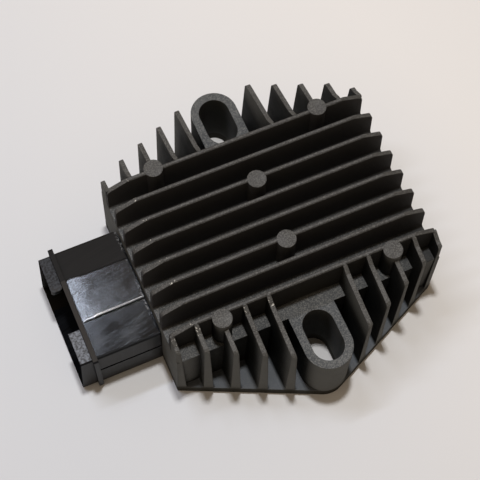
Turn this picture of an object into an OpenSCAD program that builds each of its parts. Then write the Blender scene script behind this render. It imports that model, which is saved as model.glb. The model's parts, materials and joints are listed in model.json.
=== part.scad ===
// Voltage regulator rectifier, lying on its mounting face.
// A finned aluminium die casting, open underneath, holds the circuit in potting resin.
// A moulded plug socket stands out of its -X end wall.
// X runs along the long fins, Y across them through the two mounting slots, Z up.
// The origin is the middle of the slot pattern, on the mounting face.

/* [Casting] */
// Length of the casting over the tops of the long fins
cast_l = 80; // [72:1:100]
// Height of the long fins above the mounting face
cast_h = 34.5; // [31:0.5:42]
// Height of the channel floors, the ledges and the slot bosses
deck_z = 23; // [21:0.5:26]
// Thickness of the deck between the channel floors and the cavity
deck_t = 3.4; // [2.6:0.2:3.4]
// Thickness of the side walls round the cavity
wall_t = 3.2; // [2.4:0.2:4]
// Thickness of the base flange under the wings
flange_t = 3.4; // [2.5:0.1:5]
// Width of the ledge between the outer long fins and the side walls
ledge_w = 4.5; // [3.5:0.5:7]
// Draft of the cast walls, in degrees
draft = 1.2; // [0.5:0.1:2]

/* [Long fins] */
// Number of long fins
fin_n = 8; // [6:1:10]
// Distance from one long fin to the next
fin_pitch = 6.7; // [6:0.1:8]
// Thickness of a long fin at its top
fin_t = 1.2; // [1:0.1:2]
// Length of the sloping shoulder at each end of a long fin
shoulder_l = 6.8; // [3:0.2:12]
// Drop of the fin's top over its shoulder
shoulder_drop = 2.8; // [1:0.2:5]
// Radius at the end corners of the long fins
corner_r = 1.6; // [0.4:0.1:2]
// Radius at the roots of the fins
root_r = 0.9; // [0.4:0.1:1.4]

/* [Cross fins] */
// Number of cross fins on each side of a boss
cross_n = 5; // [3:1:6]
// Thickness of a cross fin at its top
cross_t = 1.2; // [1:0.1:2]
// Gap between a boss and the first cross fin
boss_gap = 3.8; // [2:0.2:6]
// Length in Y of the steep first stretch of a cross fin's top
dip_l = 2.4; // [1:0.2:4]
// Drop of a cross fin's top over that stretch
dip_drop = 1.6; // [0.4:0.2:3]
// Fall of the rest of a cross fin's top, in degrees
fall = 12; // [4:1:18]
// Radius at the outer top corner of a cross fin
cross_r = 1.5; // [0.6:0.1:2]

/* [Slotted bosses] */
// Width of a mounting slot
slot_w = 9.1; // [6.5:0.1:10]
// Length of a mounting slot from end to end
slot_l = 15.4; // [12:0.2:18]
// Gap in plan between the side wall and a slot
slot_gap = 0.4; // [0:0.1:2]
// Width of the rim round a slot
rim_t = 2.45; // [1.8:0.05:3.5]

/* [Ejector pads] */
// Diameter of the flat round pads
pad_d = 5.5; // [4:0.1:6.4]
// Distance of the outer pads outside the outer long fins
pad_spread = 1.1; // [0:0.1:2]
// Shift of the whole pad pattern towards +Y
pad_shift = -0.7; // [-1.5:0.1:1.5]
// Height of the pads above the fins
pad_rise = 0.1; // [0:0.05:0.4]

/* [Plug socket] */
// Width of the socket moulding
shroud_w = 34.8; // [32:0.2:40]
// Length of the moulding from the casting to its mouth
shroud_l = 23.4; // [20:0.2:30]
// Drop from the channel floors to the top of the moulding
shroud_drop = 4; // [4:0.2:6]
// Thickness of the moulding's walls
shroud_t = 1.9; // [1.5:0.1:2.4]
// Gap between the moulding and the surface below it
shroud_lift = 0.4; // [0.2:0.1:1]
// Length of the thinner mouth in front of the collar, at its top
mouth_l = 3.4; // [2.6:0.2:5]
// Reach of the mouth's lower lip past its upper one
lip_l = 1.2; // [0.6:0.1:2]
// Thickness of the collar rib
collar_t = 1.4; // [1:0.1:2]
// Height of the collar above the walls
collar_h = 1.2; // [0.6:0.1:1.4]
// Width of the latch window in the mouth's top wall
latch_w = 13.2; // [8:0.2:14]
// Shift of the latch window towards +Y
latch_y = -0.6; // [-1:0.1:1]
// Radius at the corners of the mouth's wall on the window's +Y side
latch_r = 1.2; // [0.4:0.1:1.4]
// Height of the raised pad on the top
block_h = 1.1; // [0.6:0.1:1.4]
// Width of the raised pad
block_w = 13.5; // [8:0.5:15]
// Distance of the raised pad's middle from the moulding's middle
block_y = 1; // [-2:0.5:2]
// Radius that rounds the raised pad down towards the collar
block_r = 3; // [1.5:0.5:6]
// Radius along the long edges of the moulding and the raised pad
round_r = 0.6; // [0.3:0.1:1]
// Depth of the socket behind the mouth
socket_d = 18; // [16:0.5:18.5]

/* [Terminals] */
// Width of a blade
blade_w = 6.3; // [5.5:0.1:6.5]
// Thickness of a blade
blade_t = 0.8; // [0.6:0.1:1]
// Length of a blade in the socket
blade_l = 13; // [10:0.5:15]
// Distance from one blade column to the next
blade_pitch = 9.6; // [8.5:0.1:9.8]
// Distance between the two blade rows
row_gap = 7.4; // [6:0.1:7.8]
// Length of an upper row's tail inside the cavity
tail_l = 4; // [3:0.5:6]
// Extra length of a lower row's tail
tail_step = 3; // [2.5:0.5:4]

/* [Circuit] */
// Thickness of the insulating heat sheet under the deck
sheet_t = 0.4; // [0.2:0.1:0.8]
// Thickness of the power substrate
substrate_t = 1.5; // [1:0.1:2]
// Thickness of the control board
board_t = 1.6; // [1:0.1:2]
// Drop from the substrate to the control board
board_drop = 6; // [5.5:0.1:6.5]
// Recess of the resin's surface from the mounting face
resin_recess = 0.8; // [0.4:0.1:2]

/* [Hidden] */
$fn = 64;
// Overlap of solids that join, reach of cuts past a face, and size of the cutting profiles
eps = 0.01;
over = 1;
big = 200;
// Play round the blades and the neck
fit = 0.05;
// Steps of a quarter arc in the fin profiles
arc_n = 4;
// Edge break along the fins' tops
edge = 0.3;

// Places of the fins and the casting's outline
half_l = cast_l / 2;
fin_y0 = (fin_n - 1) / 2 * fin_pitch;
fin_face = fin_y0 + fin_t / 2;
house_y = fin_face + ledge_w;
lean = tan(draft);
base_x = half_l + cast_h * lean;
deck_x = base_x - deck_z * lean;
shoulder_z = cast_h - shoulder_drop;
shoulder_a = atan2(shoulder_drop, shoulder_l);

// Bosses, slots and the tangent from the flange's corner to the boss
slot_r = slot_w / 2;
slot_y = house_y + slot_gap + slot_l / 2;
slot_end = slot_l / 2 - slot_r;
boss_y = slot_y + slot_end;
boss_r = slot_r + rim_t;
wing_a = atan2(boss_y - house_y, base_x) + asin(boss_r / norm([base_x, boss_y - house_y]));
wing_d = base_x * sin(wing_a) + house_y * cos(wing_a);
wing_inset = 0.05;

// Cross fins run from the boss to the casting's ends, where the last one is cut to the end wall
end_cut = 0.15;
cross_x0 = boss_r + boss_gap + cross_t / 2;
cross_pitch = (half_l - cross_t / 2 + end_cut - cross_x0) / (cross_n - 1);
pad_cross = floor(cross_n / 2);

// Cavity in the casting
cav_x = deck_x - wall_t;
cav_y = house_y - wall_t;
cav_z = deck_z - deck_t;
cav_r = 2.5;

// Plug socket, from the end wall outwards to the mouth
shroud_z = deck_z - shroud_drop;
shroud_x = -base_x - 2 * fit;
mouth_x = shroud_x - shroud_l;
collar_x = mouth_x + mouth_l;
neck_step = 1.2;
neck_y = shroud_w / 2 - neck_step;
neck_z = shroud_z - neck_step;
key_t = 2;
key_z = resin_recess + shroud_lift;
key_x = -cav_x + 2 * fit;
socket_x = mouth_x + socket_d;
socket_mid = (shroud_lift + shroud_z) / 2;
groove_w = 0.6;
groove_d = 0.4;
mouth_step = 0.1;
block_gap = 0.3;

// Circuit stack, from the deck down
sheet_z = cav_z - sheet_t;
substrate_z = sheet_z - substrate_t;
board_z = substrate_z - board_drop - board_t;
stack_gap = 1;
stack_x0 = key_x + key_t + stack_gap;
stack_l = cav_x - stack_gap - stack_x0;
stack_y = cav_y - stack_gap;
board_y = stack_y / 2;
tail_x = key_x + key_t;
tail_w = 3;
link_d = 1.2;
thyristor = [9, 10, 3];
diode = [8, 8, 2.6];
edge_gap = 4;
bar_y = 4;
bar_w = 3;
bar_t = 1;
chip_x0 = tail_x + tail_l + tail_step + stack_gap;
chip_l = cav_x - edge_gap - chip_x0;
pin_d = 0.8;
pin_gap = 2;
chip = [10, 6, 1.5];
cap_d = 6.3;
cap_h = 5;
resistor_d = 2;
resistor_l = 6;
resistor_pitch = 4.5;
resistor_x = -2;
zener_d = 1.8;
zener_l = 4;
zener_x = 4.5;

function fin_y(i) = (i - (fin_n - 1) / 2) * fin_pitch;
function cross_x(i) = cross_x0 + i * cross_pitch;
// Height of the outer long fin's top where cross fin i meets it
function cross_top(i) = cast_h - max(0, cross_x(i) - half_l + shoulder_l) * shoulder_drop / shoulder_l;
// Drop of a round corner's centre below the corner, where a line falling by an angle meets an upright one
function corner_drop(r, angle) = r * (1 - sin(angle)) / cos(angle);
function arc(cx, cz, r, a0, a1) = [for (i = [0 : arc_n])
    let (a = a0 + (a1 - a0) * i / arc_n) [cx + r * cos(a), cz + r * sin(a)]];
function mirrored(points) = [for (i = [len(points) - 1 : -1 : 0]) [-points[i][0], points[i][1]]];
function column_y(i) = (1 - i) * blade_pitch;
function row_z(row) = socket_mid + (0.5 - row) * row_gap;
function tail_end(row) = tail_x + tail_l + row * tail_step;
// Middle of place number i of three for the devices, along X
function chip_x(i) = chip_x0 + (i + 0.5) * chip_l / 3;

// Draws a profile in the YZ plane and runs it along X, centred
module along_x(length) {
    rotate([90, 0, 90]) linear_extrude(length, center = true) children();
}

// Draws a profile in the XZ plane and runs it along Y, centred
module along_y(length) {
    rotate([90, 0, 0]) linear_extrude(length, center = true) children();
}

// Repeats a shape at both ends of the Y axis
module both_sides() {
    for (turn = [0, 180]) rotate([0, 0, turn]) children();
}

module rounded_rect(half_x, half_y, r) {
    square([2 * half_x, 2 * (half_y - r)], center = true);
    square([2 * (half_x - r), 2 * half_y], center = true);
    for (x = [-1, 1], y = [-1, 1]) translate([x * (half_x - r), y * (half_y - r)]) circle(r);
}

// Plan of a slot along Y, on the +Y side
module slot_plan(r) {
    for (y = [-slot_end, slot_end]) translate([0, slot_y + y]) circle(r);
    translate([0, slot_y]) square([2 * r, 2 * slot_end], center = true);
}

// Base plate: the body's rectangle and the wings, tangent to the bosses
module flange() {
    tangent = [boss_r * sin(wing_a), boss_y + boss_r * cos(wing_a)];
    half = [[base_x, -house_y], [base_x, house_y], tangent, [-tangent[0], tangent[1]], [-base_x, house_y],
        [-base_x, -house_y]];
    linear_extrude(flange_t) both_sides() {
        polygon(half);
        translate([0, boss_y]) circle(boss_r);
    }
}

// Box under the long fins, with drafted end walls
module house_block() {
    along_y(2 * house_y) polygon([[-base_x, 0], [base_x, 0], [deck_x, deck_z], [-deck_x, deck_z]]);
}

// Section of a fin: drafted sides, broken top edges, rounded roots on the floor below it
module fin_profile(thickness, floor_z) {
    root = thickness / 2 + (cast_h - floor_z) * lean + root_r;
    side = concat([[thickness / 2 - edge, cast_h], [thickness / 2, cast_h - edge]],
        arc(root, floor_z - eps + root_r, root_r, 180, 270), [[root, floor_z - over]]);
    polygon(concat(mirrored(side), side));
}

module long_fins() {
    corner_z = shoulder_z - corner_drop(corner_r, shoulder_a);
    end = concat([[deck_x, deck_z - over]], arc(half_l - corner_r, corner_z, corner_r, 0, 90 - shoulder_a),
        [[half_l - shoulder_l, cast_h]]);
    intersection() {
        along_x(big) for (i = [0 : fin_n - 1]) translate([fin_y(i), 0]) fin_profile(fin_t, deck_z);
        along_y(big) polygon(concat(end, mirrored(end)));
    }
}

// Everything inside one sloping edge of a wing, drafted
module wing_limit(side) {
    foot = wing_d - wing_inset;
    rotate([0, 0, -side * wing_a]) along_x(2 * big)
        polygon([[-big, 0], [foot, 0], [foot - cast_h * lean, cast_h], [-big, cast_h]]);
}

// Side view of cross fin i: its top dips, falls gently outwards and ends in a round corner
module cross_outline(i) {
    top_z = cross_top(i);
    dip_y = fin_face + dip_l;
    dip_z = top_z - dip_drop;
    end_y = (wing_d - wing_inset - cast_h * lean - (cross_x(i) - cross_t / 2) * sin(wing_a)) / cos(wing_a);
    corner_z = dip_z - (end_y - dip_y) * tan(fall) - corner_drop(cross_r, fall);
    polygon(concat([[fin_y0, flange_t - over], [end_y + over, flange_t - over]],
        arc(end_y - cross_r, corner_z, cross_r, 0, 90 - fall),
        [[dip_y, dip_z], [fin_face, top_z], [fin_y0, top_z]]));
}

// Cross fins of both wings, cut to the wings' outline and the casting's ends
module cross_fins() {
    both_sides() intersection() {
        for (i = [0 : cross_n - 1], side = [-1, 1]) intersection() {
            along_y(big) translate([side * cross_x(i), 0]) fin_profile(cross_t, flange_t);
            along_x(big) cross_outline(i);
        }
        wing_limit(1);
        wing_limit(-1);
        along_y(big) polygon([[-base_x, 0], [base_x, 0], [half_l, cast_h], [-half_l, cast_h]]);
    }
}

// Boss round a slot, tied to the side wall
module bosses() {
    both_sides() linear_extrude(deck_z) {
        translate([0, boss_y]) circle(boss_r);
        translate([-boss_r, cav_y]) square([2 * boss_r, boss_y - cav_y]);
    }
}

module ejector_pads() {
    outer_y = fin_y0 + pad_spread;
    inner_y = fin_y(fin_n - 3);
    corners = [for (x = [-1, 1], y = [-1, 1]) [x * cross_x(pad_cross), y * outer_y]];
    places = concat(corners, [[0, inner_y], [0, -inner_y]]);
    for (p = places) translate([p[0], p[1] + pad_shift, deck_z - over])
        cylinder(h = cast_h - deck_z + over + pad_rise, d = pad_d);
}

module cavity() {
    translate([0, 0, -over]) linear_extrude(cav_z + over) rounded_rect(cav_x, cav_y, cav_r);
}

module heat_sink() color("#2c2b2a") difference() {
    union() {
        flange();
        house_block();
        long_fins();
        cross_fins();
        bosses();
        ejector_pads();
    }
    cavity();
    both_sides() translate([0, 0, -over]) linear_extrude(deck_z + 2 * over) slot_plan(slot_r);
    block(-base_x - over, over - cav_x, neck_y + fit, -over, neck_z + fit);
}

// Block from one X to another, centred on Y, between two heights
module block(x0, x1, half_y, z0, z1) {
    translate([x0, -half_y, z0]) cube([x1 - x0, 2 * half_y, z1 - z0]);
}

// Place of each blade: column 0 to 2 from +Y, row 0 above row 1
module at_blade(column, row) {
    translate([0, column_y(column), row_z(row)]) children();
}

// Block with round edges along X
module bar(x0, x1, half_y, z0, z1) {
    translate([(x0 + x1) / 2, 0, (z0 + z1) / 2]) along_x(x1 - x0)
        rounded_rect(half_y, (z1 - z0) / 2, round_r);
}

// Outside of the socket from the collar to the mouth, its lower lip longer than its upper one
module mouth() {
    far_x = mouth_x - lip_l;
    intersection() {
        bar(far_x, collar_x + eps, shroud_w / 2 - mouth_step, shroud_lift + mouth_step,
            shroud_z - mouth_step);
        along_y(big) polygon([[collar_x + over, 0], [far_x, 0], [mouth_x, shroud_z],
            [collar_x + over, shroud_z]]);
    }
}

// Window through the mouth's top wall, with the wall's corners rounded on its +Y side
module latch_window() {
    wall_x = mouth_x - 2 * mouth_step;
    wall_y = latch_y + latch_w / 2;
    half_x = (collar_x + mouth_step - wall_x) / 2;
    translate([0, 0, shroud_z - shroud_t - over]) linear_extrude(shroud_t + 2 * over) difference() {
        translate([mouth_x - lip_l - over, wall_y - latch_w])
            square([mouth_l + lip_l + over, latch_w + latch_r]);
        translate([wall_x + half_x, wall_y + shroud_w / 2]) rounded_rect(half_x, shroud_w / 2, latch_r);
    }
}

// Neck through the casting's end wall
module neck() {
    block(shroud_x - eps, key_x + eps, neck_y, shroud_lift, neck_z);
}

// Key that the resin holds behind the end wall
module key() {
    block(key_x, tail_x, neck_y + neck_step, key_z, shroud_z);
}

// Raised pad on top of the moulding, rounded down towards the collar and along its sides
module raised_pad() {
    top_z = shroud_z + block_h;
    round_x = collar_x + collar_t + block_gap + sqrt(block_h * (2 * block_r - block_h));
    side = concat([[block_w / 2, shroud_z - over]],
        arc(block_w / 2 - round_r, top_z - round_r, round_r, 0, 90));
    intersection() {
        along_y(big) {
            translate([round_x, top_z - block_r]) circle(block_r);
            translate([round_x, shroud_z - over]) square([shroud_x - round_x, block_h + over]);
        }
        along_x(big) translate([block_y, 0]) polygon(concat(side, mirrored(side)));
    }
}

// Moulding: collar, mouth, neck and key on the shroud, with the socket and the blades' slots in it
module connector_housing() color("#1b1c1e") difference() {
    union() {
        bar(collar_x, shroud_x, shroud_w / 2, shroud_lift, shroud_z);
        bar(collar_x, collar_x + collar_t, shroud_w / 2 + collar_h, shroud_lift / 2, shroud_z + collar_h);
        mouth();
        neck();
        key();
        raised_pad();
    }
    block(mouth_x - lip_l - over, socket_x, shroud_w / 2 - shroud_t, shroud_lift + shroud_t,
        shroud_z - shroud_t);
    latch_window();
    for (side = [-1, 1]) translate([0, side * shroud_w / 2, 0])
        block(collar_x + collar_t, shroud_x + over, groove_d, socket_mid, socket_mid + groove_w);
    for (column = [0 : 2], row = [0, 1]) at_blade(column, row)
        block(socket_x - over, tail_x + over, blade_w / 2 + fit, -blade_t / 2 - fit, blade_t / 2 + fit);
}

// Flat blade with a narrower tail in the cavity, longer in the lower row
module blade(column, row) color("#c9b27a") at_blade(column, row) {
    block(socket_x - blade_l, tail_x, blade_w / 2, -blade_t / 2, blade_t / 2);
    block(tail_x - eps, tail_end(row), tail_w / 2, -blade_t / 2, blade_t / 2);
}

module phase_terminal_a() blade(0, 0);
module phase_terminal_b() blade(1, 0);
module phase_terminal_c() blade(2, 0);
module positive_terminal() blade(0, 1);
module ground_terminal() blade(1, 1);
module sense_terminal() blade(2, 1);

// Round links that stand between the tails' ends and the substrate
module terminal_links() color("#b87333")
    for (column = [0 : 2], row = [0, 1])
        translate([tail_end(row) - link_d, column_y(column), row_z(row) + blade_t / 2])
            cylinder(h = substrate_z - row_z(row) - blade_t / 2, d = link_d);

module heat_sheet() color("#8fa3ad") block(stack_x0, stack_x0 + stack_l, stack_y, sheet_z, cav_z);
module power_substrate() color("#d9d4c5") block(stack_x0, stack_x0 + stack_l, stack_y, substrate_z, sheet_z);

module thyristor_at(i) color("#303338")
    translate([chip_x(i) - thyristor[0] / 2, stack_y - edge_gap - thyristor[1], substrate_z - thyristor[2]])
        cube(thyristor);
module diode_at(i) color("#3c3f45")
    translate([chip_x(i) - diode[0] / 2, edge_gap - stack_y, substrate_z - diode[2]]) cube(diode);
module thyristor_a() thyristor_at(0);
module thyristor_b() thyristor_at(1);
module thyristor_c() thyristor_at(2);
module diode_a() diode_at(0);
module diode_b() diode_at(1);
module diode_c() diode_at(2);

module busbar(y) color("#b87333") translate([0, y, 0])
    block(chip_x0, chip_x0 + chip_l, bar_w / 2, substrate_z - bar_t, substrate_z);
module positive_busbar() busbar(bar_y);
module ground_busbar() busbar(-bar_y);

module control_board() color("#2f6b45") block(chip_x0, chip_x0 + chip_l, board_y, board_z, board_z + board_t);

// Four pins that stand between the board and the substrate
module board_pins() color("#c9b27a")
    for (x = [chip_x0 + pin_gap, chip_x0 + chip_l - pin_gap], y = [pin_gap - board_y, board_y - pin_gap])
        translate([x, y, board_z + board_t]) cylinder(h = board_drop, d = pin_d);

module control_chip() color("#202225")
    translate([chip_x(1), 0, board_z - chip[2] / 2]) cube(chip, center = true);

module filter_capacitor() color("#30343c")
    translate([chip_x(2), 0, board_z - cap_h]) cylinder(h = cap_h, d = cap_d);

module gate_resistors() color("#8f7f63")
    for (i = [-1 : 1]) translate([chip_x(0) + resistor_x, i * resistor_pitch, board_z - resistor_d / 2])
        rotate([0, 90, 0]) cylinder(h = resistor_l, d = resistor_d, center = true);

module reference_diode() color("#6b2f2a") translate([chip_x(0) + zener_x, 0, board_z - zener_d / 2])
    rotate([90, 0, 0]) cylinder(h = zener_l, d = zener_d, center = true);

// Everything that the resin closes round
module embedded() {
    neck();
    key();
    for (column = [0 : 2], row = [0, 1]) blade(column, row);
    terminal_links();
    heat_sheet();
    power_substrate();
    for (i = [0 : 2]) {
        thyristor_at(i);
        diode_at(i);
    }
    positive_busbar();
    ground_busbar();
    control_board();
    board_pins();
    control_chip();
    filter_capacitor();
    gate_resistors();
    reference_diode();
}

module potting_resin() color("#3a3f45") difference() {
    translate([0, 0, resin_recess]) linear_extrude(cav_z - resin_recess) rounded_rect(cav_x, cav_y, cav_r);
    embedded();
}

heat_sink();
connector_housing();
phase_terminal_a();
phase_terminal_b();
phase_terminal_c();
positive_terminal();
ground_terminal();
sense_terminal();
terminal_links();
potting_resin();
heat_sheet();
power_substrate();
thyristor_a();
thyristor_b();
thyristor_c();
diode_a();
diode_b();
diode_c();
positive_busbar();
ground_busbar();
control_board();
board_pins();
control_chip();
filter_capacitor();
gate_resistors();
reference_diode();
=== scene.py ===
import json
import math

import bmesh
import bpy
from mathutils import Matrix, Vector


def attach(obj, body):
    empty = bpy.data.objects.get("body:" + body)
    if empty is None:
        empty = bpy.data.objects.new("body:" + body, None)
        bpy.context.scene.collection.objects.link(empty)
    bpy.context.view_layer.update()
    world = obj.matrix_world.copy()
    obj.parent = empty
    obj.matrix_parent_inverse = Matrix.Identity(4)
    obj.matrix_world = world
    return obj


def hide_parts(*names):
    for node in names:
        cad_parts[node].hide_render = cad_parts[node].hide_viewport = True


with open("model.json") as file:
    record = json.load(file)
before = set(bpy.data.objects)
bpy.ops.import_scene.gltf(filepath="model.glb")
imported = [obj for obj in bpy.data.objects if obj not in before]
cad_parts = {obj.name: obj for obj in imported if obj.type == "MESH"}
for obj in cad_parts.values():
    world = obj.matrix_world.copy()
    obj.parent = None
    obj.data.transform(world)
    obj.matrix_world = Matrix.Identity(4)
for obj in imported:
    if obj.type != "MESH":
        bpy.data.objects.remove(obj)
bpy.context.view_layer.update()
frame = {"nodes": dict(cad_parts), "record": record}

mm = 0.001
noiseFrom, noiseTo = 0.3, 0.7   # most of a noise texture's values lie between these


def colour(hexText):
    # sRGB hex to the linear colour that the shaders take
    channels = [int(hexText[i:i + 2], 16) / 255 for i in (1, 3, 5)]
    linear = [c / 12.92 if c <= 0.04045 else ((c + 0.055) / 1.055) ** 2.4 for c in channels]
    return (*linear, 1.0)


def openSocket(sockets, key=None):
    # a socket by its place, or the first one in use, of that name if one is given
    if isinstance(key, int):
        return sockets[key]
    return next(s for s in sockets if s.enabled and key in (None, s.name))


def addNode(material, kind, inputs=None, **settings):
    # one node with its settings; each input takes a value, another node or one of its outputs
    node = material.node_tree.nodes.new(kind)
    for name, value in settings.items():
        setattr(node, name, value)
    for key, value in (inputs or {}).items():
        socket = openSocket(node.inputs, key)
        if isinstance(value, bpy.types.Node):
            value = openSocket(value.outputs)
        if isinstance(value, bpy.types.NodeSocket):
            material.node_tree.links.new(value, socket)
        else:
            socket.default_value = value
    return node


def startMaterial(name):
    material = bpy.data.materials.new(name)
    material.use_nodes = True
    material.node_tree.nodes.clear()
    return material


def deselectAll():
    if bpy.context.object and bpy.context.object.mode != "OBJECT":
        bpy.ops.object.mode_set(mode="OBJECT")
    bpy.ops.object.select_all(action="DESELECT")


def makeActive(piece):
    deselectAll()
    piece.select_set(True)
    bpy.context.view_layer.objects.active = piece


# black baked paint on a shot-blasted aluminium die casting: painted shade makes it nearly black down in the
# channels, grey and grainy on the faces that look up, with light spots on the fins' high edges that are
# partly rubbed metal and partly a painted glint
castingLook = {
    "wall": "#595956",          # where it stands free, painted as lit
    "recessShade": "#1d1d1b",        # deep between the cross fins in front, painted shade
    "backRecessShade": "#31312f",    # and between those behind, a lighter painted shade
    "backFrom": 20 * mm,
    "backTo": 26 * mm,
    "channel": "#403f3f",       # painted shade on the walls between the long fins
    "foot": "#302e29",          # the flange's edge
    "reach": 9.0 * mm,          # a wall closer than this to another counts as a recess
    "recessSky": 0.5,           # how open a recess is, and a wall that stands free
    "freeSky": 0.98,
    "flange": "#494e54",
    "ledge": "#2e3031",
    "farLedgeShade": "#131414",      # painted shade towards the far end
    "ledgeGrain": 0.75,
    "farGrain": 0.15,
    "farFrom": 27 * mm,
    "farTo": 36 * mm,
    "top": "#2e2b27",
    "flatFrom": 0.3,            # how far a face looks up, from wall to flat
    "flatTo": 0.9,
    "grainColour": "#7c7a74",   # rubbed grains of the blasted skin
    "grainFrom": 0.44,          # noise at which a grain starts and is full
    "grainTo": 0.7,
    "flangeGrain": 0.25,        # share of them down on the flange
    "topGrain": 0.55,           # and on the tops
    "footTo": 3.2 * mm,         # the flange's edge is lower than this
    "channelTo": 23.7 * mm,     # just inside the outer long fins' outer faces
    "channelFrom": 22.8 * mm,   # above the ledges
    "outer": "#2c2b29",         # painted shade on those outer faces, above the ledges
    "outerFace": 24.0 * mm,
    "outerReach": 0.3 * mm,
    "rubAndGlint": "#b9b5ab",           # bare metal at the worn spots, partly a painted glint
    "grain": 0.34 * mm,         # coarser than real blasting, so that the render shows it
    "film": 5.0 * mm,           # slow change of the paint film
    "filmFrom": 0.3,
    "filmTo": 0.65,
    "filmLeast": 0.75,          # how much of the flat faces' look shows where it is thinnest
    "flangeTo": 10 * mm,        # a flat face below this is the flange
    "topFrom": 27 * mm,         # and above this a top
    "shoulder": 33.4 * mm,      # where the long fins' tops bend down
    "dip": 25.6 * mm,           # where the cross fins' tops dip
    "wearGlintReach": 1.1 * mm,      # half the width of those two bands
    "wearGlintMiddle": 30.8 * mm,
    "wearGlintHeight": 3.72 * mm,    # from the middle up to just below the pads' tops
    "wearGlintTo": 0,                # spots only to the left of this, where the painted glint falls
    "spotFrom": 0.6,            # noise at which a spot starts and is full
    "spotTo": 0.7,
    "roughness": 0.62,
    "roughLess": 0.06,
    "roughMore": 0.08,
    "wallSpecular": 0.03,
    "flatSpecular": 0.5,
    "edgeRound": 0.3 * mm,      # catches a soft light along the edges
    "relief": 0.1 * mm,
}


def castingPaint(look):
    m = startMaterial("blackBakedPaint")
    place = addNode(m, "ShaderNodeTexCoord")
    at = place.outputs["Object"]
    xyz = addNode(m, "ShaderNodeSeparateXYZ", {"Vector": at})
    height = xyz.outputs["Z"]
    facing = addNode(m, "ShaderNodeSeparateXYZ", {"Vector": place.outputs["Normal"]}).outputs["Z"]
    upward = addNode(m, "ShaderNodeMapRange", {"Value": facing, "From Min": look["flatFrom"],
        "From Max": look["flatTo"]})

    # tones by height: flange, ledges, tops
    low = addNode(m, "ShaderNodeMath", {0: height, 1: look["flangeTo"]}, operation="GREATER_THAN")
    high = addNode(m, "ShaderNodeMath", {0: height, 1: look["topFrom"]}, operation="GREATER_THAN")
    # painted shade: the ledges darker towards the far end
    farShade = addNode(m, "ShaderNodeMapRange", {"Value": xyz.outputs["X"], "From Min": look["farFrom"],
        "From Max": look["farTo"]})
    ledgeTone = addNode(m, "ShaderNodeMix", {"Factor": farShade, "A": colour(look["ledge"]),
        "B": colour(look["farLedgeShade"])}, data_type="RGBA")
    ledge = addNode(m, "ShaderNodeMix", {"Factor": low, "A": colour(look["flange"]), "B": ledgeTone},
        data_type="RGBA")
    flat = addNode(m, "ShaderNodeMix", {"Factor": high, "A": ledge, "B": colour(look["top"])},
        data_type="RGBA")

    # blasted grain and the slower change of the paint film
    grain = addNode(m, "ShaderNodeTexNoise", {"Vector": at, "Scale": 1 / look["grain"], "Detail": 2.0,
        "Roughness": 0.6}).outputs["Fac"]
    film = addNode(m, "ShaderNodeTexNoise", {"Vector": at, "Scale": 1 / look["film"], "Detail": 3.0}
        ).outputs["Fac"]
    # fewer grains show in the far end's painted shade
    ledgeShare = addNode(m, "ShaderNodeMapRange", {"Value": farShade, "To Min": look["ledgeGrain"],
        "To Max": look["farGrain"]})
    lowShare = addNode(m, "ShaderNodeMapRange", {"Value": low, "To Min": look["flangeGrain"],
        "To Max": ledgeShare})
    share = addNode(m, "ShaderNodeMix", {"Factor": high, "A": lowShare, "B": look["topGrain"]},
        data_type="FLOAT")
    bright = addNode(m, "ShaderNodeMapRange", {"Value": grain, "From Min": look["grainFrom"],
        "From Max": look["grainTo"], "To Max": share})
    speckled = addNode(m, "ShaderNodeMix", {"Factor": bright, "A": flat, "B": colour(look["grainColour"])},
        data_type="RGBA")
    cloudy = addNode(m, "ShaderNodeMapRange", {"Value": film, "From Min": look["filmFrom"],
        "From Max": look["filmTo"], "To Min": look["filmLeast"]})
    shown = addNode(m, "ShaderNodeMath", {0: upward, 1: cloudy}, operation="MULTIPLY")

    # walls: painted shade, dark in the recesses and lighter where they stand free
    acrossX = addNode(m, "ShaderNodeMath", {0: xyz.outputs["X"]}, operation="ABSOLUTE")
    acrossY = addNode(m, "ShaderNodeMath", {0: xyz.outputs["Y"]}, operation="ABSOLUTE")
    free = addNode(m, "ShaderNodeAmbientOcclusion", {"Distance": look["reach"]}, samples=8, only_local=True)
    standing = addNode(m, "ShaderNodeMapRange", {"Value": free.outputs["AO"], "From Min": look["recessSky"],
        "From Max": look["freeSky"]})
    behind = addNode(m, "ShaderNodeMapRange", {"Value": xyz.outputs["Y"], "From Min": look["backFrom"],
        "From Max": look["backTo"]})
    recessShade = addNode(m, "ShaderNodeMix", {"Factor": behind, "A": colour(look["recessShade"]),
        "B": colour(look["backRecessShade"])}, data_type="RGBA")
    wall = addNode(m, "ShaderNodeMix", {"Factor": standing, "A": recessShade, "B": colour(look["wall"])},
        data_type="RGBA")
    # painted shade: a darker tone on the walls between the long fins
    within = addNode(m, "ShaderNodeMath", {0: acrossY, 1: look["channelTo"]}, operation="LESS_THAN")
    above = addNode(m, "ShaderNodeMath", {0: height, 1: look["channelFrom"]}, operation="GREATER_THAN")
    inside = addNode(m, "ShaderNodeMath", {0: within, 1: above}, operation="MULTIPLY")
    channelled = addNode(m, "ShaderNodeMix", {"Factor": inside, "A": wall, "B": colour(look["channel"])},
        data_type="RGBA")
    # painted shade on the outer long fins' outer faces, above the ledges
    outer = addNode(m, "ShaderNodeMath", {0: acrossY, 1: look["outerFace"], 2: look["outerReach"]},
        operation="COMPARE")
    shaded = addNode(m, "ShaderNodeMath", {0: outer, 1: above}, operation="MULTIPLY")
    finned = addNode(m, "ShaderNodeMix", {"Factor": shaded, "A": channelled, "B": colour(look["outer"])},
        data_type="RGBA")
    atFoot = addNode(m, "ShaderNodeMath", {0: height, 1: look["footTo"]}, operation="LESS_THAN")
    upright = addNode(m, "ShaderNodeMix", {"Factor": atFoot, "A": finned, "B": colour(look["foot"])},
        data_type="RGBA")
    painted = addNode(m, "ShaderNodeMix", {"Factor": shown, "A": upright, "B": speckled}, data_type="RGBA")
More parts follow.
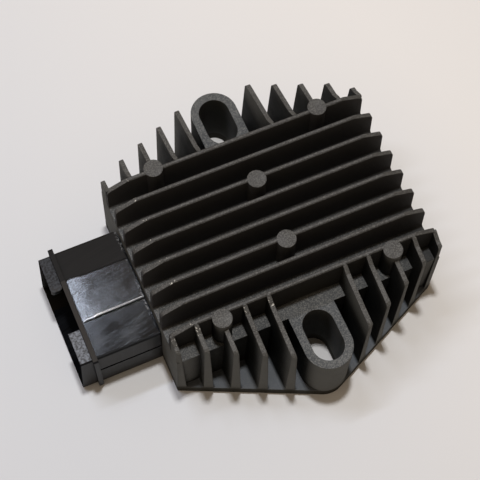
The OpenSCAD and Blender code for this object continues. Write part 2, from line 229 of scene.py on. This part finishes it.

    # light spots in two bands, partly wear and partly a painted glint: across the long fins' shoulders and
    # along the cross fins' dips
    bend = addNode(m, "ShaderNodeMath", {0: acrossX, 1: look["shoulder"], 2: look["wearGlintReach"]},
        operation="COMPARE")
    shoulder = addNode(m, "ShaderNodeMath", {0: bend, 1: within}, operation="MULTIPLY")
    dip = addNode(m, "ShaderNodeMath", {0: xyz.outputs["Y"], 1: -look["dip"], 2: look["wearGlintReach"]},
        operation="COMPARE")
    bands = addNode(m, "ShaderNodeMath", {0: shoulder, 1: dip}, operation="MAXIMUM")
    notPad = addNode(m, "ShaderNodeMath", {0: height, 1: look["wearGlintMiddle"], 2: look["wearGlintHeight"]},
        operation="COMPARE")
    left = addNode(m, "ShaderNodeMath", {0: xyz.outputs["X"], 1: look["wearGlintTo"]}, operation="LESS_THAN")
    leftTop = addNode(m, "ShaderNodeMath", {0: upward, 1: left}, operation="MULTIPLY")
    onTop = addNode(m, "ShaderNodeMath", {0: leftTop, 1: notPad}, operation="MULTIPLY")
    reached = addNode(m, "ShaderNodeMath", {0: bands, 1: onTop}, operation="MULTIPLY")
    patch = addNode(m, "ShaderNodeTexNoise", {"Vector": at, "Scale": 0.5 / look["grain"], "Detail": 1.0})
    spot = addNode(m, "ShaderNodeMapRange", {"Value": patch.outputs["Fac"], "From Min": look["spotFrom"],
        "From Max": look["spotTo"]})
    markAndSheen = addNode(m, "ShaderNodeMath", {0: reached, 1: spot}, operation="MULTIPLY")
    tone = addNode(m, "ShaderNodeMix", {"Factor": markAndSheen, "A": painted, "B": colour(look["rubAndGlint"])},
        data_type="RGBA")

    rounded = addNode(m, "ShaderNodeBevel", {"Radius": look["edgeRound"]}, samples=6)
    bump = addNode(m, "ShaderNodeBump", {"Height": grain, "Distance": look["relief"], "Normal": rounded})
    rough = addNode(m, "ShaderNodeMapRange", {"Value": film, "From Min": noiseFrom, "From Max": noiseTo,
        "To Min": look["roughness"] - look["roughLess"], "To Max": look["roughness"] + look["roughMore"]})
    specular = addNode(m, "ShaderNodeMapRange", {"Value": upward, "To Min": look["wallSpecular"],
        "To Max": look["flatSpecular"]})
    shader = addNode(m, "ShaderNodeBsdfPrincipled", {"Base Color": tone, "Roughness": rough, "Normal": bump,
        "Specular IOR Level": specular})
    addNode(m, "ShaderNodeOutputMaterial", {"Surface": shader})
    return m


# moulded black nylon: glossy from a polished tool on top, matte on its ends and sides, with fine
# scratches from plugging and scuffs against the casting
socketLook = {
    "body": "#0a0a0b",
    "haze": "#16181b",
    "scuff": "#8d8d8c",
    "frontTabSheen": "#777a80",      # grain on the mouth's two tabs, its light tone a painted sheen, brighter on the front tab
    "backTabSheen": "#3a3b3e",
    # painted light on the collar's top
    "collar": "#2c2824",
    "matteBody": "#120f0c",
    "matteHaze": "#1b1815",
    "mouthTo": -60.85 * mm,     # the tabs end here, at the collar
    "upperFrom": 17 * mm,       # the lower lip and the inside lie below this
    "levelFrom": 0.96,          # how far a face looks up, from side to top
    "levelTo": 0.995,
    "slopeFrom": 0.2,           # the same on the raised pad's round end
    "slopeTo": 0.6,
    "grain": 0.7 * mm,          # coarse enough to show in the render
    "tabGrainFrom": 0.38,       # noise at which a tab's painted sheen starts and is full
    "tabGrainTo": 0.6,
    "tabGrainLeast": 0.25,
    "edgeHighlight": "#eef0f4",      # painted highlight along the raised pad's front edge
    "edgeY": -5.52 * mm,
    "edgeWidth": 0.08 * mm,
    "padFrom": 19.05 * mm,
    "edgeFrom": -54 * mm,
    "edgeTo": -43 * mm,
    "edgeLeast": 0.1,           # what is left of that painted highlight next to the casting
    "roundFrom": -55.9 * mm,    # the raised pad's round end is lit as if it were flat
    "roundTo": -54.6 * mm,
    "brightTo": -52.0 * mm,
    "endGloss": 1.2,            # more of the light comes back near that end
    "glossTo": 16.5 * mm,       # the top's outer edges are matte
    "wallFrom": -41.6 * mm,     # the scuffs start here
    "wallTo": -40.6 * mm,
    "scuffFrom": 0.5,           # noise at which a scuff starts and is full
    "scuffTo": 0.62,
    "patchFrom": 0.45,          # and a patch of scuffs
    "patchTo": 0.6,
    "ripple": 6.0 * mm,         # sink marks that unsettle the reflection
    "matteFrom": 7.8 * mm,      # matte behind the raised pad
    "collarTo": -59.3 * mm,
    "grooveAt": 10.0 * mm,      # middle of the groove in each side
    "grooveReach": 0.5 * mm,
    "scratchLength": 12.0 * mm,
    "scratchWidth": 0.14 * mm,  # real ones are finer, and wouldn't show
    "scratchTurn": 12,          # degrees from the X axis
    "scratchFrom": 0.58,        # noise at which a scratch starts and is full
    "scratchTo": 0.72,
    "scratchStrength": 0.6,
    "hazeFrom": 0.42,
    "hazeTo": 0.7,
    "roughness": 0.12,
    "roughLess": 0.02,
    "roughMore": 0.05,
    "specular": 0.41,
    "padSpecular": 0.72,
    "mottle": 0.16,             # fine unevenness of the shine
    "evenFrom": 0.35,           # noise between which gloss and shine change
    "evenTo": 0.65,
    "matte": 0.5,               # roughness off the polished top
    "matteSpecular": 0.1,
    "sideSpecular": 0.25,
    "edgeRound": 0.1 * mm,
    "rippleRelief": 0.005 * mm,
    "scratchRelief": 0.008 * mm,
    "tabRelief": 0.12 * mm,
}


def socketPlastic(look):
    m = startMaterial("glossyBlackNylon")
    place = addNode(m, "ShaderNodeTexCoord")
    at = place.outputs["Object"]
    xyz = addNode(m, "ShaderNodeSeparateXYZ", {"Vector": at})
    facing = addNode(m, "ShaderNodeSeparateXYZ", {"Vector": place.outputs["Normal"]}).outputs["Z"]

    # tops only, and at the raised pad's round end the slope too
    behindCollar = addNode(m, "ShaderNodeMath", {0: xyz.outputs["X"], 1: look["collarTo"]},
        operation="GREATER_THAN")
    aboveFlat = addNode(m, "ShaderNodeMath", {0: xyz.outputs["Z"], 1: look["padFrom"]},
        operation="GREATER_THAN")
    onPad = addNode(m, "ShaderNodeMath", {0: aboveFlat, 1: behindCollar}, operation="MULTIPLY")
    level = addNode(m, "ShaderNodeMapRange", {"Value": facing, "From Min": look["levelFrom"],
        "From Max": look["levelTo"]})
    sloping = addNode(m, "ShaderNodeMapRange", {"Value": facing, "From Min": look["slopeFrom"],
        "From Max": look["slopeTo"]})
    padEnd = addNode(m, "ShaderNodeMapRange", {"Value": xyz.outputs["X"], "From Min": look["roundTo"],
        "From Max": look["roundFrom"]})
    onEnd = addNode(m, "ShaderNodeMath", {0: padEnd, 1: onPad}, operation="MULTIPLY")
    up = addNode(m, "ShaderNodeMix", {"Factor": onEnd, "A": level, "B": sloping}, data_type="FLOAT")
    upper = addNode(m, "ShaderNodeMath", {0: xyz.outputs["Z"], 1: look["upperFrom"]},
        operation="GREATER_THAN")
    upward = addNode(m, "ShaderNodeMath", {0: up, 1: upper}, operation="MULTIPLY")

    # slow sink marks and fine scratches
    ripple = addNode(m, "ShaderNodeTexNoise", {"Vector": at, "Scale": 1 / look["ripple"], "Detail": 2.0}
        ).outputs["Fac"]
    along = addNode(m, "ShaderNodeMapping", {"Vector": at,
        "Rotation": (0, 0, math.radians(-look["scratchTurn"]))})
    drawn = addNode(m, "ShaderNodeMapping", {"Vector": along,
        "Scale": (1 / look["scratchLength"], 1 / look["scratchWidth"], 1 / look["scratchLength"])})
    scratch = addNode(m, "ShaderNodeTexNoise", {"Vector": drawn, "Scale": 1.0, "Detail": 2.0}).outputs["Fac"]
    line = addNode(m, "ShaderNodeMapRange", {"Value": scratch, "From Min": look["scratchFrom"],
        "From Max": look["scratchTo"]})
    grain = addNode(m, "ShaderNodeTexNoise", {"Vector": at, "Scale": 1 / look["grain"], "Detail": 2.0}
        ).outputs["Fac"]

    # tabs in front of the collar, and the scuffed end next to the casting
    tab = addNode(m, "ShaderNodeMath", {0: xyz.outputs["X"], 1: look["mouthTo"]}, operation="LESS_THAN")
    tabTop = addNode(m, "ShaderNodeMath", {0: tab, 1: upward}, operation="MULTIPLY")
    tabGrain = addNode(m, "ShaderNodeMapRange", {"Value": grain, "From Min": look["tabGrainFrom"],
        "From Max": look["tabGrainTo"], "To Min": look["tabGrainLeast"]})
    nearWall = addNode(m, "ShaderNodeMapRange", {"Value": xyz.outputs["X"], "From Min": look["wallFrom"],
        "From Max": look["wallTo"]})
    rubbed = addNode(m, "ShaderNodeMapRange", {"Value": grain, "From Min": look["scuffFrom"],
        "From Max": look["scuffTo"]})
    gate = addNode(m, "ShaderNodeMapRange", {"Value": ripple, "From Min": look["patchFrom"],
        "From Max": look["patchTo"]})
    hit = addNode(m, "ShaderNodeMath", {0: nearWall, 1: gate}, operation="MULTIPLY")
    scuffed = addNode(m, "ShaderNodeMath", {0: hit, 1: rubbed}, operation="MULTIPLY")

    # the skin's tone: top, collar with painted light on its top, and the matte strip behind the raised pad
    hazy = addNode(m, "ShaderNodeMapRange", {"Value": scratch, "From Min": look["hazeFrom"],
        "From Max": look["hazeTo"]})
    plain = addNode(m, "ShaderNodeMix", {"Factor": hazy, "A": colour(look["body"]),
        "B": colour(look["haze"])}, data_type="RGBA")
    onCollar = addNode(m, "ShaderNodeMath", {0: upward, 1: behindCollar}, operation="SUBTRACT",
        use_clamp=True)
    capped = addNode(m, "ShaderNodeMix", {"Factor": onCollar, "A": plain, "B": colour(look["collar"])},
        data_type="RGBA")
    behindPad = addNode(m, "ShaderNodeMath", {0: xyz.outputs["Y"], 1: look["matteFrom"]},
        operation="GREATER_THAN")
    matteTone = addNode(m, "ShaderNodeMix", {"Factor": hazy, "A": colour(look["matteBody"]),
        "B": colour(look["matteHaze"])}, data_type="RGBA")
    skin = addNode(m, "ShaderNodeMix", {"Factor": behindPad, "A": capped, "B": matteTone}, data_type="RGBA")
    # the tabs' grain in a painted sheen, the front tab painted lit and the back one shaded
    blotch = addNode(m, "ShaderNodeMath", {0: tabTop, 1: tabGrain}, operation="MULTIPLY")
    back = addNode(m, "ShaderNodeMath", {0: xyz.outputs["Y"], 1: 0.0}, operation="GREATER_THAN")
    markAndSheen = addNode(m, "ShaderNodeMix", {"Factor": back, "A": colour(look["frontTabSheen"]),
        "B": colour(look["backTabSheen"])}, data_type="RGBA")
    tabbed = addNode(m, "ShaderNodeMix", {"Factor": blotch, "A": skin, "B": markAndSheen}, data_type="RGBA")
    marked = addNode(m, "ShaderNodeMix", {"Factor": scuffed, "A": tabbed, "B": colour(look["scuff"])},
        data_type="RGBA")

    # painted highlight along the raised pad's front edge, fading towards the casting
    nearEdge = addNode(m, "ShaderNodeMath", {0: xyz.outputs["Y"], 1: look["edgeY"], 2: look["edgeWidth"]},
        operation="COMPARE")
    edge = addNode(m, "ShaderNodeMath", {0: nearEdge, 1: onPad}, operation="MULTIPLY")
    fading = addNode(m, "ShaderNodeMapRange", {"Value": xyz.outputs["X"], "From Min": look["edgeFrom"],
        "From Max": look["edgeTo"], "To Min": 1.0, "To Max": look["edgeLeast"]})
    edgeHighlightShare = addNode(m, "ShaderNodeMath", {0: edge, 1: fading}, operation="MULTIPLY")
    tone = addNode(m, "ShaderNodeMix", {"Factor": edgeHighlightShare, "A": marked, "B": colour(look["edgeHighlight"])},
        data_type="RGBA")

    # relief: rounded edges, a level round end, sink marks, scratches, the tabs' grain
    rounded = addNode(m, "ShaderNodeBevel", {"Radius": look["edgeRound"]}, samples=6)
    eased = addNode(m, "ShaderNodeMix", {"Factor": onEnd, "A": rounded, "B": (0.0, 0.0, 1.0)},
        data_type="VECTOR")
    rippled = addNode(m, "ShaderNodeBump", {"Height": ripple, "Distance": look["rippleRelief"],
        "Normal": eased})
    cut = addNode(m, "ShaderNodeBump", {"Height": line, "Distance": look["scratchRelief"],
        "Strength": look["scratchStrength"], "Normal": rippled}, invert=True)
    textured = addNode(m, "ShaderNodeBump", {"Height": grain, "Distance": look["tabRelief"],
        "Strength": tabTop, "Normal": cut})

    # polished only on the top, between the collar and the matte strip behind the pad
    polish = addNode(m, "ShaderNodeMapRange", {"Value": ripple, "From Min": look["evenFrom"],
        "From Max": look["evenTo"], "To Min": look["roughness"] - look["roughLess"],
        "To Max": look["roughness"] + look["roughMore"]})
    zone = addNode(m, "ShaderNodeMath", {0: behindCollar, 1: behindPad}, operation="SUBTRACT", use_clamp=True)
    acrossY = addNode(m, "ShaderNodeMath", {0: xyz.outputs["Y"]}, operation="ABSOLUTE")
    within = addNode(m, "ShaderNodeMath", {0: acrossY, 1: look["glossTo"]}, operation="LESS_THAN")
    middle = addNode(m, "ShaderNodeMath", {0: zone, 1: within}, operation="MULTIPLY")
    polished = addNode(m, "ShaderNodeMath", {0: upward, 1: middle}, operation="MULTIPLY")
    rough = addNode(m, "ShaderNodeMix", {"Factor": polished, "A": look["matte"], "B": polish},
        data_type="FLOAT")

    # shine: the sides less, none in their grooves, the raised pad more
    groove = addNode(m, "ShaderNodeMath", {0: xyz.outputs["Z"], 1: look["grooveAt"],
        2: look["grooveReach"]}, operation="COMPARE")
    outward = addNode(m, "ShaderNodeSeparateXYZ", {"Vector": place.outputs["Normal"]}).outputs["Y"]
    sideways = addNode(m, "ShaderNodeMath", {0: outward}, operation="ABSOLUTE")
    lit = addNode(m, "ShaderNodeMath", {0: sideways, 1: look["sideSpecular"]}, operation="MULTIPLY")
    cutIn = addNode(m, "ShaderNodeMath", {0: groove, 1: behindCollar}, operation="MULTIPLY")
    side = addNode(m, "ShaderNodeMath", {0: lit, 1: cutIn}, operation="SUBTRACT", use_clamp=True)
    padGloss = addNode(m, "ShaderNodeMapRange", {"Value": xyz.outputs["X"], "From Min": look["brightTo"],
        "From Max": look["roundFrom"], "To Min": look["padSpecular"], "To Max": look["endGloss"]})
    evenGloss = addNode(m, "ShaderNodeMapRange", {"Value": onPad, "To Min": look["specular"],
        "To Max": padGloss})
    mottle = addNode(m, "ShaderNodeMapRange", {"Value": grain, "From Min": look["evenFrom"],
        "From Max": look["evenTo"], "To Min": 1 - look["mottle"], "To Max": 1 + look["mottle"]})
    gloss = addNode(m, "ShaderNodeMath", {0: evenGloss, 1: mottle}, operation="MULTIPLY")
    shine = addNode(m, "ShaderNodeMapRange", {"Value": middle, "To Min": look["matteSpecular"],
        "To Max": gloss})
    specular = addNode(m, "ShaderNodeMapRange", {"Value": upward, "To Min": side, "To Max": shine})
    shader = addNode(m, "ShaderNodeBsdfPrincipled", {"Base Color": tone, "Roughness": rough,
        "Normal": textured, "Specular IOR Level": specular})
    addNode(m, "ShaderNodeOutputMaterial", {"Surface": shader})
    return m


# a plain finish with a cloudy colour and a fine relief, for the small pieces
cloudLook = {
    "cloudFrom": 0.35,          # noise at which the lighter tone starts and is full
    "cloudTo": 0.65,
    "roughBand": 0.05,          # how far the roughness goes up and down
}


def cloudyFinish(name, dark, light, size, roughness, relief, metallic=0.0):
    m = startMaterial(name)
    at = addNode(m, "ShaderNodeTexCoord").outputs["Object"]
    cloud = addNode(m, "ShaderNodeTexNoise", {"Vector": at, "Scale": 1 / size, "Detail": 3.0}).outputs["Fac"]
    share = addNode(m, "ShaderNodeMapRange", {"Value": cloud, "From Min": cloudLook["cloudFrom"],
        "From Max": cloudLook["cloudTo"]})
    tone = addNode(m, "ShaderNodeMix", {"Factor": share, "A": colour(dark), "B": colour(light)},
        data_type="RGBA")
    rough = addNode(m, "ShaderNodeMapRange", {"Value": cloud, "From Min": noiseFrom, "From Max": noiseTo,
        "To Min": roughness - cloudLook["roughBand"], "To Max": roughness + cloudLook["roughBand"]})
    bump = addNode(m, "ShaderNodeBump", {"Height": cloud, "Distance": relief})
    shader = addNode(m, "ShaderNodeBsdfPrincipled", {"Base Color": tone, "Roughness": rough, "Normal": bump,
        "Metallic": metallic})
    addNode(m, "ShaderNodeOutputMaterial", {"Surface": shader})
    return m


finishes = {
    "casting_paint": castingPaint(castingLook),
    "socket_plastic": socketPlastic(socketLook),
    # tin plate on brass, rolled and stamped: bright with a soft grain
    "terminal_brass": cloudyFinish("tinnedBrass", "#b9b3a2", "#d8d2c0", 1.5 * mm, 0.3, 0.004 * mm, 1.0),
    # bare rolled copper, slightly tarnished
    "copper": cloudyFinish("rolledCopper", "#a0633f", "#c98a62", 2.0 * mm, 0.35, 0.004 * mm, 1.0),
    # poured epoxy: dark, half glossy, with a slightly uneven skin
    "resin": cloudyFinish("pouredEpoxy", "#1d1e20", "#2b2d30", 6.0 * mm, 0.38, 0.08 * mm),
    # filled silicone sheet: matte and slightly chalky
    "sheet_rubber": cloudyFinish("siliconeSheet", "#8a979c", "#9aa7ab", 0.8 * mm, 0.75, 0.01 * mm),
    # anodised aluminium base: satin
    "substrate_metal": cloudyFinish("anodisedAluminium", "#c4c1b8", "#d6d2c6", 1.0 * mm, 0.4, 0.003 * mm,
        1.0),
    # transfer-moulded epoxy: black and fine-grained
    "device_plastic": cloudyFinish("mouldedEpoxy", "#26282b", "#34373b", 0.3 * mm, 0.6, 0.01 * mm),
    # solder resist on glass laminate: green, glossy
    "board_laminate": cloudyFinish("solderResist", "#1f5a38", "#2b6c46", 3.0 * mm, 0.3, 0.004 * mm),
    # lacquered ceramic rod
    "resistor_body": cloudyFinish("lacqueredCeramic", "#a8906a", "#bda680", 0.6 * mm, 0.4, 0.01 * mm),
    # lacquered glass body
    "diode_glass_body": cloudyFinish("lacqueredGlass", "#7c2f22", "#93402f", 0.6 * mm, 0.25, 0.004 * mm),
}
print("materials made:", len(finishes))

slotOf = {part["node"]: part["material_slot"] for part in frame["record"]["subparts"]}


def applyFinish(piece, slot):
    piece.data.materials.clear()
    piece.data.materials.append(finishes[slot])
    for face in piece.data.polygons:
        face.material_index = 0


for name, node in frame["nodes"].items():
    applyFinish(node, slotOf[name])
print("CAD nodes finished:", len(frame["nodes"]))

# the casting and the moulding as whole surfaces, so that their round faces shade smoothly: only
# narrow faces that turn away from their neighbours, which are the steps of an arc, are smoothed
weldLook = {
    "gap": 0.002 * mm,
    "flatAngle": 0.3,           # degrees; faces that turn less than this become one
    "planeAngle": 1.0,          # degrees; neighbours that turn less than this are shaded flat
    "smoothAngle": 21,          # degrees; an edge that turns more than this stays sharp
    "stepWidth": 0.75 * mm,     # a face broader than this is shaded flat
}


def flattenPlanes(mesh, width, angle):
    shape = bmesh.new()
    shape.from_mesh(mesh)
    for face in shape.faces:
        if face.calc_area() > width * max(edge.calc_length() for edge in face.edges):
            face.smooth = False
    for edge in shape.edges:
        if len(edge.link_faces) == 2 and edge.calc_face_angle(math.pi) < angle:
            for face in edge.link_faces:
                face.smooth = False
    shape.to_mesh(mesh)
    shape.free()


def weldedCopy(name, look):
    node = frame["nodes"][name]
    piece = bpy.data.objects.new(name + "Surface", node.data.copy())
    bpy.context.scene.collection.objects.link(piece)
    makeActive(piece)
    bpy.ops.mesh.customdata_custom_splitnormals_clear()   # the CAD mesh brings its own normals
    bpy.ops.object.mode_set(mode="EDIT")
    bpy.ops.mesh.select_all(action="SELECT")
    bpy.ops.mesh.remove_doubles(threshold=look["gap"])
    bpy.ops.mesh.dissolve_limited(angle_limit=math.radians(look["flatAngle"]))
    bpy.ops.mesh.normals_make_consistent(inside=False)
    bpy.ops.object.mode_set(mode="OBJECT")
    bpy.ops.object.shade_smooth_by_angle(angle=math.radians(look["smoothAngle"]))
    flattenPlanes(piece.data, look["stepWidth"], math.radians(look["planeAngle"]))
    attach(piece, "root")
    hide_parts(name)
    return piece


for name in ("heat_sink", "connector_housing"):
    surface = weldedCopy(name, weldLook)
    print("welded", name, len(surface.data.vertices), "points", len(surface.data.polygons), "faces")


# pale floor and backdrop, with painted light: cooler and darker on one side, warmer and lighter on the other
floorLook = {
    "size": 6.0,
    "roughness": 0.9,
    "specular": 0.1,
    "warmLight": "#e4e0db",
    "coolShade": "#d1d2d4",
    "turn": 15,                 # degrees from the X axis to the side painted warmer and lighter
    "reach": 80 * mm,
}


def paleFloor(look):
    m = startMaterial("palePaper")
    at = addNode(m, "ShaderNodeTexCoord").outputs["Object"]
    turned = addNode(m, "ShaderNodeMapping", {"Vector": at,
        "Rotation": (0, 0, math.radians(-look["turn"]))})
    along = addNode(m, "ShaderNodeSeparateXYZ", {"Vector": turned}).outputs["X"]
    share = addNode(m, "ShaderNodeMapRange", {"Value": along, "From Min": -look["reach"],
        "From Max": look["reach"]})
    tone = addNode(m, "ShaderNodeMix", {"Factor": share, "A": colour(look["coolShade"]),
        "B": colour(look["warmLight"])}, data_type="RGBA")
    shader = addNode(m, "ShaderNodeBsdfPrincipled", {"Base Color": tone, "Roughness": look["roughness"],
        "Specular IOR Level": look["specular"]})
    addNode(m, "ShaderNodeOutputMaterial", {"Surface": shader})
    deselectAll()
    bpy.ops.mesh.primitive_plane_add(size=look["size"], location=(0, 0, 0))
    floor = bpy.context.object
    floor.name = "floor"
    floor.data.materials.append(m)


paleFloor(floorLook)

# world: soft warm room light, brighter on the socket's side
worldLook = {"light": "#ffe8cc", "left": 0.42, "right": 0.2}


def softWorld(look):
    world = bpy.data.worlds.new("room")
    bpy.context.scene.world = world
    world.use_nodes = True
    world.node_tree.nodes.clear()
    way = addNode(world, "ShaderNodeTexCoord").outputs["Generated"]
    sideways = addNode(world, "ShaderNodeSeparateXYZ", {"Vector": way}).outputs["X"]
    strength = addNode(world, "ShaderNodeMapRange", {"Value": sideways, "From Min": -1.0, "From Max": 1.0,
        "To Min": look["left"], "To Max": look["right"]})
    room = addNode(world, "ShaderNodeBackground", {"Color": colour(look["light"]), "Strength": strength})
    addNode(world, "ShaderNodeOutputWorld", {"Surface": room})


softWorld(worldLook)

# lamps: a near one overhead, and a long one higher up that the socket's top reflects
lamps = {
    "overheadBox": {"place": (0.0, 0.034, 0.58), "size": (0.036, 0.036), "power": 2.05, "tint": "#f8f8f9"},
    "windowStrip": {"place": (-0.35, 0.444, 1.1), "size": (0.64, 0.07), "power": 5.0, "tint": "#dde9ff"},
}


def addLamp(name, look):
    lamp = bpy.data.lights.new(name, "AREA")
    lamp.shape = "RECTANGLE"
    lamp.size, lamp.size_y = look["size"]
    lamp.energy = look["power"]
    lamp.color = colour(look["tint"])[:3]
    holder = bpy.data.objects.new(name, lamp)
    bpy.context.scene.collection.objects.link(holder)
    holder.location = look["place"]


for name, look in lamps.items():
    addLamp(name, look)

# camera: the photo's viewing angle, fitted to the casting's corners
cameraLook = {
    "azimuth": -26.10,         # degrees round from the front, towards the socket
    "elevation": 65.45,
    "roll": 2.62,
    "distance": 0.35574,
    "target": (-0.00801, 0.00193, 0.015),
    "focalPixels": 1219.49,
    "imagePixels": 480,
    "sensor": 36.0,
    "clip": (0.01, 20.0),
}


def addCamera(look):
    azimuth, elevation, roll = (math.radians(look[key]) for key in ("azimuth", "elevation", "roll"))
    back = Vector((math.sin(azimuth) * math.cos(elevation), -math.cos(azimuth) * math.cos(elevation),
        math.sin(elevation)))
    right = (-back).cross(Vector((0, 0, 1))).normalized()
    up = right.cross(-back)
    rolledRight = right * math.cos(roll) + up * math.sin(roll)
    rolledUp = up * math.cos(roll) - right * math.sin(roll)
    data = bpy.data.cameras.new("photoCamera")
    data.sensor_width = look["sensor"]
    data.lens = look["focalPixels"] * look["sensor"] / look["imagePixels"]
    data.clip_start, data.clip_end = look["clip"]
    camera = bpy.data.objects.new("photoCamera", data)
    bpy.context.scene.collection.objects.link(camera)
    turn = Matrix((rolledRight, rolledUp, back)).transposed().to_4x4()
    camera.matrix_world = Matrix.Translation(Vector(look["target"]) + back * look["distance"]) @ turn
    bpy.context.scene.camera = camera


addCamera(cameraLook)
bpy.context.scene.view_settings.view_transform = "Standard"
print("stage, lamps and camera set")
